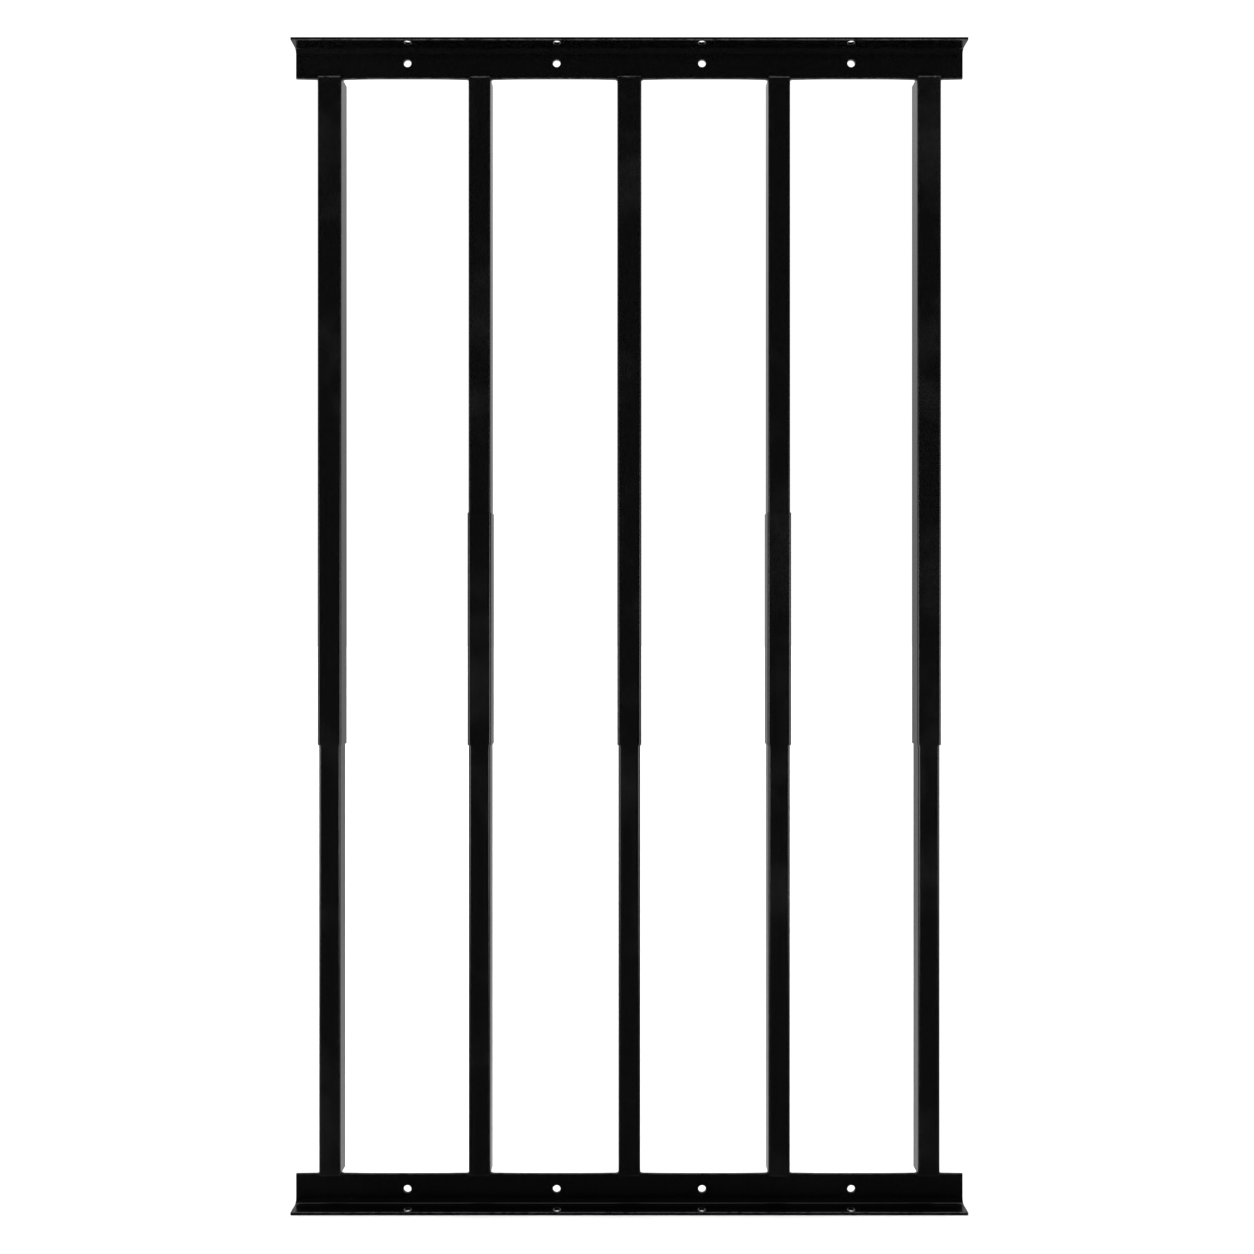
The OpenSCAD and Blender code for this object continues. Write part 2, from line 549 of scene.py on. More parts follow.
@dataclass(frozen=True)
class PowderCoat:
    """Satin black powder coat on steel, with orange peel, bare bores and paler edges that are
    partly worn coating and partly painted highlight.

    Colours are linear. peel is the spacing of the orange peel and peel_depth its height.
    sway is the depth of the slow waves that rolling leaves in the steel.
    dust is how much paler the dullest patches are, edge_wear_and_highlight how much paler a
    rounded edge can be, partly as worn coating and partly as painted highlight, and rub how
    strong lengthwise rub marks are. pale_wear_and_highlight is the colour of the paler edges and
    of the rub marks. An edge begins to pale where a noise passes wear_and_highlight_from's first
    value. draw_lines is the depth of the shallow lines that roll forming leaves along a tube.

    The scales are features per metre, for the dull patches, the speckle, the patches along a
    pale edge, the slow waves and the finest grain. The two stretches are the same along X, Y and
    Z, for the rub marks and the draw lines. The last four are what speckle, rubbing and a bare
    bore add to the roughness, and the grain's share of the peel's depth.
    """

    name: str
    black: tuple[float, float, float] = (0.0036, 0.0036, 0.004)
    dusty: tuple[float, float, float] = (0.08, 0.08, 0.082)
    pale_wear_and_highlight: tuple[float, float, float] = (0.035, 0.035, 0.037)
    steel: tuple[float, float, float] = (0.11, 0.105, 0.1)
    gloss: tuple[float, float] = (0.17, 0.25)
    peel: float = 1.7 * MM
    peel_depth: float = 0.03 * MM
    sway: float = 0.06 * MM
    dust: float = 0.22
    edge_wear_and_highlight: float = 0.35
    wear_and_highlight_from: tuple[float, float] = (0.45, 0.75)
    rub: float = 0.0
    draw_lines: float = 0.0
    patch_scale: float = 9.0
    speckle_scale: float = 420.0
    edge_patch_scale: float = 160.0
    sway_scale: float = 45.0
    grain_scale: float = 2600.0
    rub_stretch: tuple[float, float, float] = (900.0, 900.0, 5.0)
    line_stretch: tuple[float, float, float] = (260.0, 260.0, 2.5)
    speckle_rough: float = 0.02
    rub_rough: float = 0.25
    bore_rough: float = 0.2
    grain_share: float = 0.12

    def build(self) -> bpy.types.Material:
        """Makes the material.

        Returns:
            The material, which reads the piece's own coordinates and its two attributes.
        """
        board = FinishBoard(self.name)
        edge, bore = board.attribute("edge"), board.attribute("bore")
        patches = board.noise(self.patch_scale, detail=4.0, rough=0.6)
        speckle = board.noise(self.speckle_scale, detail=3.0, rough=0.65)
        settled = board.remap(patches, (0.5, 0.72), (0.0, self.dust))
        settled = board.compute("MULTIPLY", settled, speckle)
        colour = board.blend(settled, self.black, self.dusty)
        # Rounded edges are painted paler in patches: partly worn coating, partly painted highlight
        # where an edge would catch the light.
        edge_patches = board.noise(self.edge_patch_scale, detail=3.0)
        wear_and_highlight_share = board.remap(edge_patches, self.wear_and_highlight_from, (0.0, self.edge_wear_and_highlight))
        colour = board.blend(board.compute("MULTIPLY", edge, wear_and_highlight_share), colour, self.pale_wear_and_highlight)
        roughness = board.remap(patches, (0.3, 0.7), self.gloss)
        grainy = board.remap(speckle, (0.3, 0.7), (-self.speckle_rough, self.speckle_rough))
        roughness = board.compute("ADD", roughness, grainy)
        if self.rub > 0.0:
            streaks = board.noise(1.0, detail=2.0, where=board.stretched(self.rub_stretch))
            rubbed = board.remap(streaks, (0.56, 0.74), (0.0, self.rub))
            colour = board.blend(rubbed, colour, self.pale_wear_and_highlight)
            scuffed = board.compute("MULTIPLY", rubbed, self.rub_rough)
            roughness = board.compute("ADD", roughness, scuffed)
        raw = board.compute("MULTIPLY", bore, board.remap(speckle, (0.25, 0.6), (0.55, 1.0)))
        colour = board.blend(raw, colour, self.steel)
        bare = board.compute("MULTIPLY", bore, self.bore_rough)
        roughness = board.compute("ADD", roughness, bare)
        peel = board.noise(1.0 / self.peel, detail=1.0, rough=0.4)
        relief = board.bump(board.noise(self.sway_scale, detail=1.0), self.sway)
        relief = board.bump(peel, self.peel_depth, relief)
        grain = board.noise(self.grain_scale, detail=1.0)
        relief = board.bump(grain, self.peel_depth * self.grain_share, relief)
        if self.draw_lines > 0.0:
            lines = board.noise(1.0, detail=1.0, where=board.stretched(self.line_stretch))
            relief = board.bump(lines, self.draw_lines, relief)
        board.link(colour, board.shader.inputs["Base Color"])
        board.link(roughness, board.shader.inputs["Roughness"])
        board.link(relief, board.shader.inputs["Normal"])
        board.shader.inputs["IOR"].default_value = 1.5
        return board.material


# ---------------------------------------------------------------------------------------
# Sub-assemblies
# ---------------------------------------------------------------------------------------


@dataclass
class Part:
    """A piece of the guard: it stands for one CAD node and moves with one half."""

    node: str
    body: Body
    coat: Coat

    def surface(self) -> Surface:
        """The part's closed surface, worked out by each kind of part."""
        raise NotImplementedError

    def dress(self, coats: dict[Coat, bpy.types.Material]) -> bpy.types.Object:
        """Builds the piece, puts it in place of its CAD node and reports it.

        Args:
            coats: the material of each coat.

        Returns:
            The piece.
        """
        piece = self.surface().to_object(self.node.title(), coats[self.coat])
        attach(piece, self.body.value)
        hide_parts(self.node)
        faces = len(piece.data.polygons)
        log.info("%-16s %6d faces, rides on %s", piece.name, faces, self.body.value)
        return piece


@dataclass(frozen=True)
class Hole:
    """A screw hole through one leg of a rail: where its axis meets the leg, and its radius."""

    leg: Leg
    x: float
    across: float
    radius: float


def holes_between(low: float, high: float) -> list[Hole]:
    """The screw holes of the rail that lies between two heights.

    The record's bolt patterns are pairs on a line along X. A pattern whose axis is along Y
    is in the flange, and its holes lie across it in Z. One along Z is in the level leg.

    Args:
        low: the rail's lowest height.
        high: its highest height.

    Returns:
        Two holes for each pattern between those heights.
    """
    found = []
    for mount in frame["record"]["mounts"]:
        x, y, z = mount["pos_m"]
        if mount["kind"] != "bolt_pattern" or not low - MM < z < high + MM:
            continue
        leg = Leg(int(np.argmax(np.abs(mount["axis"]))))
        across = z if leg is Leg.FLANGE else y
        radius = mount["dims"]["hole_r_mm"] * MM
        for side in (-0.5, 0.5):
            along = x + side * mount["dims"]["spacing_x_mm"] * MM
            found.append(Hole(leg, along, across, radius))
    return found


@dataclass
class Rail(Part):
    """A length of steel angle with rounded edges and punched screw holes.

    The section is drawn as for the bottom rail, as [Y, height above the heel's outside],
    and the top rail's heights are counted down from its top face. pull is how far the heat of
    the welds has drawn the flange's free edge towards the bars.
    """

    pull: float
    thickness: float = 2.5 * MM
    root_radius: float = 4.5 * MM
    toe_radius: float = 0.8 * MM
    heel_radius: float = 0.6 * MM
    nose_radius: float = 0.3 * MM
    end_radius: float = 0.2 * MM
    hole_lip: float = 0.15 * MM
    arc_steps: int = 8
    lattice_step: float = 0.5 * MM
    flange_reach: float = 6.5 * MM
    level_reach: float = 4.5 * MM
    station_gap: float = 6 * MM
    end_steps: int = 4
    ring_count: int = 4
    pull_reach: float = 18 * MM
    pull_root: float = 22 * MM

    def __post_init__(self) -> None:
        """Reads the rail's box and holes from the frame."""
        low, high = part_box(self.node)
        self.low_x, self.high_x = low.x, high.x
        self.nose_y, self.heel_y = low.y, high.y
        self.height = high.z - low.z
        self.upright = self.body is Body.LOWER
        self.heel_z = low.z if self.upright else high.z
        self.holes = [
            replace(h, across=abs(h.across - self.heel_z)) if h.leg is Leg.FLANGE else h
            for h in holes_between(low.z, high.z)
        ]

    def _across(self, leg: Leg, reach: float) -> Array:
        """The grid lines that cross a leg's holes, shared by its two faces."""
        middles = {h.across for h in self.holes if h.leg is leg}
        return merged_stations([lattice(m, reach, self.lattice_step) for m in middles])

    def _paths(self) -> tuple[Outline, Outline]:
        """The section's outer and inner side, both from the flange's toe to the nose.

        The outer side runs down the flange's back, round the heel and along the underside.
        The inner side runs down the flange's front, round the root fillet and along the
        level leg. They have the same number of points, so that the cut end is a ladder.

        Returns:
            The outer and the inner side.
        """
        top = self.height - self.toe_radius
        front_y = self.heel_y - self.thickness
        up = self._across(Leg.FLANGE, self.flange_reach)[::-1]
        along = self._across(Leg.LEVEL, self.level_reach)[::-1]
        steps = self.arc_steps

        def column(y: float, normal: float) -> Outline:
            """The flange's face at a distance y."""
            return Outline.flat(np.stack([np.full(len(up), y), up], axis=1), (normal, 0.0))

        def row(z: float, normal: float) -> Outline:
            """The level leg's face at a height z."""
            return Outline.flat(np.stack([along, np.full(len(along), z)], axis=1), (0.0, normal))

        toe, heel = self.toe_radius, self.heel_radius
        root, nose = self.root_radius, self.nose_radius
        outer = Outline.chain([
            Outline.arc((self.heel_y - toe, top), toe, (90, 0), steps),
            column(self.heel_y, 1.0),
            Outline.arc((self.heel_y - heel, heel), heel, (0, -90), steps),
            row(0.0, -1.0),
            Outline.arc((self.nose_y + nose, nose), nose, (270, 180), steps),
        ])
        inner = Outline.chain([
            Outline.arc((front_y + toe, top), toe, (90, 180), steps),
            column(front_y, -1.0),
            Outline.arc((front_y - root, self.thickness + root), root, (0, -90), steps, hollow=True),
            row(self.thickness, 1.0),
            Outline.arc((self.nose_y + toe, self.thickness - toe), toe, (90, 180), steps),
        ])
        return outer, inner

    def _placed(self, section: Array) -> Array:
        """Section points or normals as [Y, Z], turned over for the top rail."""
        return section * np.array([1.0, 1.0 if self.upright else -1.0])

    def surface(self) -> Surface:
        """The whole rail: its swept sides, punched holes, rounded ends and cut faces.

        Returns:
            The surface, its flange's edge already drawn towards the bars.
        """
        outer, inner = self._paths()
        loop = Outline.chain([outer, inner.reversed()])
        stations = merged_stations(
            [
                np.linspace(
                    self.low_x + self.end_radius,
                    self.high_x - self.end_radius,
                    round((self.high_x - self.low_x) / self.station_gap),
                )
            ]
            + [lattice(h.x, self._reach(h), self.lattice_step) for h in self.holes]
        )
        section = self._placed(loop.points)
        facing = self._placed(loop.normals)
        shape = (len(section), len(stations))
        points = np.empty(shape + (3,))
        points[..., 0] = stations[None, :]
        points[..., 1] = section[:, 0, None]
        points[..., 2] = section[:, 1, None] + self.heel_z
        normals = np.zeros(shape + (3,))
        normals[..., 1:] = facing[:, None, :]
        keep = np.ones(shape, bool)
        parts = []
        for hole in self.holes:
            parts += self._punch(hole, loop, stations, points, normals, keep)
        parts.append(
            grid_surface(points, normals, loop.edge[:, None], 0.0, closed=(True, False), keep=keep)
        )
        for side in (-1, 1):
            parts += self._end(side, loop, len(outer.points))
        whole = Surface.join(parts)
        whole.points[:, 2] += self._drawn(whole.points)
        return whole

    def _drawn(self, points: Array) -> Array:
        """How far the welds' heat has drawn each point of the flange up or down.

        Against a bar the free edge has moved by pull, and further off by pull times
        exp(-(d / pull_reach) squared), where d is the distance from the bar's flank. The
        move grows with the square of the height from pull_root to the edge.

        Args:
            points: points of the rail.

        Returns:
            What to add to each point's Z.
        """
        height = np.abs(points[:, 2] - self.heel_z)
        share = ((height - self.pull_root) / (self.height - self.pull_root)).clip(0.0, 1.0) ** 2
        boxes = [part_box(f"inner_tube_{bar}") for bar in BARS]
        off = [np.abs(points[:, 0] - (b[0].x + b[1].x) / 2) - (b[1].x - b[0].x) / 2 for b in boxes]
        distance = np.min(off, axis=0).clip(0.0)
        towards = 1.0 if self.upright else -1.0
        return towards * self.pull * share * np.exp(-((distance / self.pull_reach) ** 2))

    def _reach(self, hole: Hole) -> float:
        """Half the side of the square of grid that a hole is punched in."""
        return self.flange_reach if hole.leg is Leg.FLANGE else self.level_reach

    def _punch(
        self,
        hole: Hole,
        loop: Outline,
        stations: Array,
        points: Array,
        normals: Array,
        keep: Array,
    ) -> list[Surface]:
        """Cuts a hole out of both faces of its leg and lines it.

        Each face loses a square of cells. Rings run from the square's rim to a circle, over
        a rounded lip and down the hole's wall to the middle of the leg, where the linings
        of the two faces meet.

        Args:
            hole: the hole.
            loop: the section.
            stations: the grid's columns along X.
            points: the grid's points.
            normals: the grid's normals.
            keep: the cells to keep, changed here.

        Returns:
            One lining for each face.
        """
        reach = self._reach(hole) + 0.01 * self.lattice_step
        line = 1 if hole.leg is Leg.FLANGE else 0
        flat_face = np.abs(loop.normals[:, 1 - line]) > FACING
        near = np.abs(loop.points[:, line] - hole.across) < reach
        columns = np.flatnonzero(np.abs(stations - hole.x) < reach)
        linings = []
        for sign in (-1.0, 1.0):
            rows = np.flatnonzero(flat_face & near & (loop.normals[:, 1 - line] * sign > 0))
            keep[rows[0] : rows[-1], columns[0] : columns[-1]] = False
            linings.append(self._lining(hole, rows, columns, points, normals))
        return linings

    def _lining(
        self, hole: Hole, rows: Array, columns: Array, points: Array, normals: Array
    ) -> Surface:
        """The rings of one face of a hole, from the square's rim to the leg's middle.

        Args:
            hole: the hole.
            rows: the square's grid rows.
            columns: the square's grid columns.
            points: the grid's points.
            normals: the grid's normals.

        Returns:
            The lining.
        """
        i = np.concatenate([
            np.full(len(columns) - 1, rows[0]), rows[:-1],
            np.full(len(columns) - 1, rows[-1]), rows[:0:-1],
        ])
        j = np.concatenate([
            columns[:-1], np.full(len(rows) - 1, columns[-1]),
            columns[:0:-1], np.full(len(rows) - 1, columns[0]),
        ])
        rim = points[i, j]
        out = normals[rows[0], columns[0]]
        middle = (points[rows[0], columns[0]] + points[rows[-1], columns[-1]]) / 2.0
        middle[0] = hole.x
        spoke = rim - middle
        length = np.linalg.norm(spoke, axis=1, keepdims=True)
        spoke = spoke / length
        share = np.linspace(0.0, 1.0, self.ring_count)[:, None, None]
        face = middle + spoke * (length * (1 - share) + (hole.radius + self.hole_lip) * share)
        turn = np.linspace(0.0, np.pi / 2, self.end_steps + 1)[1:, None, None]
        lip_radius = hole.radius + self.hole_lip * (1 - np.sin(turn))
        lip = middle + spoke * lip_radius - out * self.hole_lip * (1 - np.cos(turn))
        wall = middle + spoke * hole.radius - out * self.thickness / 2
        rings = np.concatenate([face, lip, wall[None]])
        facing = np.concatenate([
            np.broadcast_to(out, face.shape),
            np.cos(turn) * out - np.sin(turn) * spoke,
            -spoke[None],
        ])
        edge = np.concatenate([np.zeros(self.ring_count), np.sin(2 * turn.ravel()), [0.0]])
        return grid_surface(rings, facing, edge[:, None], 0.0, closed=(False, True))

    def _end(self, side: int, loop: Outline, half: int) -> list[Surface]:
        """One rounded end of the rail and its cut face.

        Ring k is the section inset by r(1 - cos a) and moved out by r sin a, with a from 0
        to 90 degrees. The cut face is a ladder of quads from the outer to the inner side.

        Args:
            side: -1 for the low end and 1 for the high end.
            loop: the section, its outer side first.
            half: the number of points on each side.

        Returns:
            The rounding and the cut face.
        """
        turn = np.linspace(0.0, np.pi / 2, self.end_steps + 1)
        base = (self.high_x if side > 0 else self.low_x) - side * self.end_radius
        facing = self._placed(loop.normals)
        rings = np.empty((len(turn), len(loop.points), 3))
        normals = np.empty_like(rings)
        for k, a in enumerate(turn):
            section = self._placed(loop.inset(self.end_radius * (1 - math.cos(a))))
            rings[k, :, 0] = base + side * self.end_radius * math.sin(a)
            rings[k, :, 1:] = section + np.array([0.0, self.heel_z])
            normals[k, :, 0] = side * math.sin(a)
            normals[k, :, 1:] = math.cos(a) * facing
        edge = np.maximum(loop.edge[None], np.sin(2 * turn)[:, None])
        rounding = grid_surface(rings, normals, edge, 0.0, closed=(False, True))
        rails = np.stack([rings[-1, :half], rings[-1, half:][::-1]])
        flat = np.broadcast_to(np.array([float(side), 0.0, 0.0]), rails.shape)
        return [rounding, grid_surface(rails, flat, 0.0, 0.0)]


@dataclass(frozen=True)
class CornerRadii:
    """The outside corner radius of each kind of tube, with its coating on."""

    outer: float = 2.4 * MM
    sleeve: float = 2.7 * MM
    upper: float = 2.0 * MM
    inner: float = 2.6 * MM


@dataclass
class Tube(Part):
    """A square tube with rounded corners, an open bore and softened cut ends.

    hollow is how far the middle of a face sinks. The coating reaches bare_from into the bore
    from each mouth and is gone by bare_full.
    """

    corner_radius: float
    wall: float = 0.9 * MM
    lip: float = 0.22 * MM
    hollow: float = 0.04 * MM
    corner_steps: int = 8
    face_steps: int = 6
    lip_steps: int = 3
    row_gap: float = 25 * MM
    bare_from: float = 6 * MM
    bare_full: float = 26 * MM

    def __post_init__(self) -> None:
        """Reads the tube's box from the frame."""
        low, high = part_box(self.node)
        self.middle = np.array([(low.x + high.x) / 2, (low.y + high.y) / 2])
        self.half = (high.x - low.x) / 2
        self.low_z, self.high_z = low.z, high.z

    def outline(self) -> Outline:
        """The tube's outside: four quarter arcs and the slightly hollow faces between them.

        A rolled tube's face sinks in its middle by hollow times 1 - t squared, where t runs
        from -1 to 1 across the face, and its normal leans by that curve's slope.

        Returns:
            The closed outline, anticlockwise from the low-Y end of the +X face.
        """
        flat = self.half - self.corner_radius
        t = np.linspace(-1.0, 1.0, self.face_steps + 1)[1:-1]
        sink = self.hollow * (1 - t**2)
        lean = 2 * self.hollow * t / flat
        runs = []
        for quarter in range(4):
            angle = math.radians(90 * quarter)
            cosine, sine = math.cos(angle), math.sin(angle)
            turn = np.array([[cosine, sine], [-sine, cosine]])
            face = np.stack([self.half - sink, t * flat], axis=1) @ turn
            normal = np.stack([np.ones_like(t), -lean], axis=1)
            normal = normal / np.linalg.norm(normal, axis=1, keepdims=True) @ turn
            corner = np.array([flat, flat]) @ turn
            runs.append(Outline(face, normal, np.zeros(len(t))))
            sweep = (90 * quarter, 90 * quarter + 90)
            runs.append(Outline.arc(corner, self.corner_radius, sweep, self.corner_steps))
        return Outline.chain(runs)

    def wall_section(self) -> dict[str, Array]:
        """The wall cut lengthwise: a closed path of inset and height.

        It runs up the outside, over the top lip, down the bore and over the bottom lip.
        Each lip is two quarter circles, and each normal is the path's own.

        Returns:
            inset, height, out (the normal's outward share), up (its upward share), edge
            and bore, one value for each point of the path.
        """
        rows = max(2, round((self.high_z - self.low_z) / self.row_gap))
        rise = np.linspace(self.low_z + self.lip, self.high_z - self.lip, rows)
        share = np.linspace(0.0, 1.0, self.lip_steps + 1)[1:-1]
        quarters = []
        for start in (0, 90, 180, 270):
            angle = np.radians(start + 90 * np.concatenate([[0.0], share, [1.0]]))
            inset_middle = self.lip if start in (0, 270) else self.wall - self.lip
            height_middle = self.high_z - self.lip if start < 180 else self.low_z + self.lip
            quarters.append((
                inset_middle - self.lip * np.cos(angle),
                height_middle + self.lip * np.sin(angle),
                np.cos(angle),
                np.sin(angle),
                np.sin(2 * (angle - math.radians(start))),
            ))
        none = np.zeros(rows - 2)
        up_run = (none, rise[1:-1], np.ones(rows - 2), none, none)
        near = np.array([self.lip, self.bare_from, self.bare_full])
        bore_rise = merged_stations([rise, self.low_z + near, self.high_z - near])[::-1][1:-1]
        plain = np.ones(len(bore_rise))
        down_run = (plain * self.wall, bore_rise, -plain, plain * 0, plain * 0)
        runs = [up_run, quarters[0], quarters[1], down_run, quarters[2], quarters[3]]
        inset, height, out, up, edge = (np.concatenate(column) for column in zip(*runs))
        mouth = np.minimum(height - self.low_z, self.high_z - height)
        deep = np.clip((mouth - self.bare_from) / (self.bare_full - self.bare_from), 0.0, 1.0)
        bore = np.where(inset > self.wall - TOUCHING, deep, 0.0)
        path = {"inset": inset, "height": height, "out": out, "up": up}
        return path | {"edge": edge, "bore": bore}

    def surface(self) -> Surface:
        """The wall section carried round the outline: a closed shell with an open bore.

        Returns:
            The surface.
        """
        loop, path = self.outline(), self.wall_section()
        shape = (len(path["inset"]), len(loop.points))
        points = np.empty(shape + (3,))
        points[..., :2] = self.middle + loop.points - path["inset"][:, None, None] * loop.normals
        points[..., 2] = path["height"][:, None]
        normals = np.empty(shape + (3,))
        normals[..., :2] = path["out"][:, None, None] * loop.normals
        normals[..., 2] = path["up"][:, None]
        edge = np.maximum(path["edge"][:, None], loop.edge[None] * (path["out"][:, None] > 0.5))
        return grid_surface(points, normals, edge, path["bore"][:, None], closed=(True, True))


@dataclass(frozen=True)
class Seam:
    """Where a bead lies: the middle of its corner line, and the three directions there.

    run is the corner line's direction. first and second are those of the bead's two legs,
    away from the corner.
    """

    corner: tuple[float, float, float]
    run: tuple[float, float, float]
    first: tuple[float, float, float]
    second: tuple[float, float, float]
    length: float


@dataclass
class Weld(Part):
    """The beads that join one bar's end to a flange: along the ledge and at both sides.

    bulge is how far the ledge bead stands in front of the bar's face, and lap how far it
    laps over that face. crest_highlight is how strong the painted highlight along its foremost
    line is, and tip_highlight how strong the painted highlight at its two ends is. reach_in is
    how far short of the bar's flanks the bead stops, as a share of the corner radius. The powers
    say how sharply the painted highlight is held to the crest from above and from below, and to
    the tips. A bead's slow wander is a sum of two sines with rates in radians per metre.
    """

    bar: Tube
    rail: Rail
    seed: int
    bulge: float = 0.8 * MM
    lap: float = 1.0 * MM
    crest_highlight: float = 1.0
    tip_highlight: float = 0.0
    reach_in: float = 0.35
    ledge_height: float = 2.6 * MM
    side_leg: float = 1.9 * MM
    ripple_gap: float = 1.5 * MM
    ripple_depth: float = 0.1
    wander: float = 0.08
    bury: float = 0.12 * MM
    arc_steps: int = 8
    steps_per_ripple: int = 6
    least_steps: int = 12
    end_power: float = 10.0
    crest_power: int = 8
    under_power: float = 0.5
    tip_power: int = 24
    wander_rates: tuple[float, float] = (350.0, 820.0)
    wander_shares: tuple[float, float] = (0.6, 0.4)
    steepest: float = 2.0

    def ledge(self, random: np.random.Generator) -> Surface:
        """The bead in front of the flange, against the bar's cut end.

        Its section is a quarter ellipse from the flange's face round to the front, then a
        smaller one that turns back under onto the bar's face.

        Args:
            random: the generator that its wander is drawn from.

        Returns:
            The bead.
        """
        away = 1.0 if self.body is Body.LOWER else -1.0
        x, y = self.bar.middle
        front_y = self.rail.heel_y - self.rail.thickness
        seam = Seam(
            (x, front_y, self.rail.heel_z + away * self.rail.height),
            (1, 0, 0), (0, -1, 0), (0, 0, -away),
            2 * (self.bar.half - self.reach_in * self.bar.corner_radius),
        )
        depth = front_y - (y - self.bar.half)
        reach = depth + self.bulge
        upper = np.linspace(np.pi / 2, 0.0, self.arc_steps + 1)
        lower = np.linspace(0.0, -np.pi / 2, self.arc_steps // 2 + 1)[1:]
        out = np.concatenate([reach * np.cos(upper), depth + self.bulge * np.cos(lower)])
        up = np.concatenate([self.ledge_height * np.sin(upper), self.lap * np.sin(lower)])
        lean = np.concatenate([np.cos(upper) / reach, np.cos(lower) / self.bulge])
        rise = np.concatenate([np.sin(upper) / self.ledge_height, np.sin(lower) / self.lap])
        section = np.stack([out, up], axis=1)
        facing = np.stack([lean, rise], axis=1)
        buried = np.array([
            [depth - self.bury, -self.lap],
            [-self.bury, -self.bury],
            [-self.bury, self.ledge_height],
        ])
        # The crest is painted with a highlight: a paler coat along the bead's foremost line.
        edge = self.crest_highlight * np.concatenate(
            [np.cos(upper) ** self.crest_power, np.cos(lower) ** self.under_power]
        )
        return self._bead(seam, section, facing, buried, edge, random)

    def flank(self, side: int, random: np.random.Generator) -> Surface:
        """The fillet on the flange's edge against one flank of the bar.

        Its section is a quarter circle that sinks into the corner, centred a leg away from
        both sides.

        Args:
            side: -1 or 1 along X.
            random: the generator that its wander is drawn from.

        Returns:
            The fillet.
        """
        away = 1.0 if self.body is Body.LOWER else -1.0
        thick = self.rail.thickness
        seam = Seam(
            (
                self.bar.middle[0] + side * self.bar.half,
                self.rail.heel_y - thick / 2,
                self.rail.heel_z + away * (self.rail.height + self.rail.pull),
            ),
            (0, 1, 0), (side, 0, 0), (0, 0, away), thick,
        )
        angle = np.linspace(-np.pi / 2, -np.pi, self.arc_steps + 1)
        around = np.stack([np.cos(angle), np.sin(angle)], axis=1)
        section = self.side_leg * (1 + around)
        buried = np.array([
            [-self.bury, self.side_leg],
            [-self.bury, -self.bury],
            [self.side_leg, -self.bury],
        ])
        return self._bead(seam, section, -around, buried, np.zeros(len(section)), random)

    def _bead(
        self,
        seam: Seam,
        section: Array,
        facing: Array,
        buried: Array,
        edge: Array,
        random: np.random.Generator,
    ) -> Surface:
        """A section carried along a seam, with ripples and closed tips.

        Its size is a slow wander times the ripple, 1 - d(1 - |sin|) of the place along the
        run, and falls to nothing at both ends as the p-th root of 1 - |t| to the power p.

        Args:
            seam: where the bead lies.
            section: the visible side of its section, along first and second.
            facing: the section's normals, of any length.
            buried: the rest of the section, inside the metal.
            edge: how strong the painted highlight is at each point of the visible side.
            random: the generator that its wander is drawn from.

        Returns:
            The bead.
        """
        corner, run, first, second = (
            np.array(v, float) for v in (seam.corner, seam.run, seam.first, seam.second)
        )
        ripples = round(seam.length / self.ripple_gap)
        count = max(self.least_steps, ripples * self.steps_per_ripple)
        t = np.sin(np.linspace(-np.pi / 2, np.pi / 2, count + 1))
        along = t * seam.length / 2
        phase, drift = random.uniform(0, np.pi), random.uniform(0, 2 * np.pi, 2)
        sines = [np.sin(along * rate + start) for rate, start in zip(self.wander_rates, drift)]
        slow = sines[0] * self.wander_shares[0] + sines[1] * self.wander_shares[1]
        wave = np.abs(np.sin(np.pi * along / self.ripple_gap + phase))
        ripple = 1 - self.ripple_depth * (1 - wave)
        size = (1 + self.wander * (slow - 1)) * ripple
        size = size * (1 - np.abs(t) ** self.end_power).clip(0.0) ** (1 / self.end_power)
        loop = np.concatenate([section, buried])
        normal = np.concatenate([facing, -np.ones_like(buried)])
        normal /= np.linalg.norm(normal, axis=1, keepdims=True)
        reach = np.linalg.norm(section, axis=1).mean()
        place = loop[:, :1] * first + loop[:, 1:] * second
        across = normal[:, :1] * first + normal[:, 1:] * second
        points = corner + along[:, None, None] * run + size[:, None, None] * place[None]
        slope = np.gradient(size, along) * reach
        normals = across[None] - slope[:, None, None].clip(-self.steepest, self.steepest) * run
        normals /= np.linalg.norm(normals, axis=2, keepdims=True)
        # Painted highlight: a paler coat along the crest and, by the tip amount, at both ends of the
        # bead.
        pale_wear_and_highlight = np.concatenate([edge, np.zeros(len(buried))])[None]
        pale_wear_and_highlight = np.maximum(pale_wear_and_highlight, self.tip_highlight * np.abs(t[:, None]) ** self.tip_power)
        return grid_surface(points, normals, pale_wear_and_highlight, 0.0, closed=(False, True))

    def surface(self) -> Surface:
        """The three beads together."""
        random = np.random.default_rng(self.seed)
        return Surface.join([self.ledge(random), self.flank(-1, random), self.flank(1, random)])


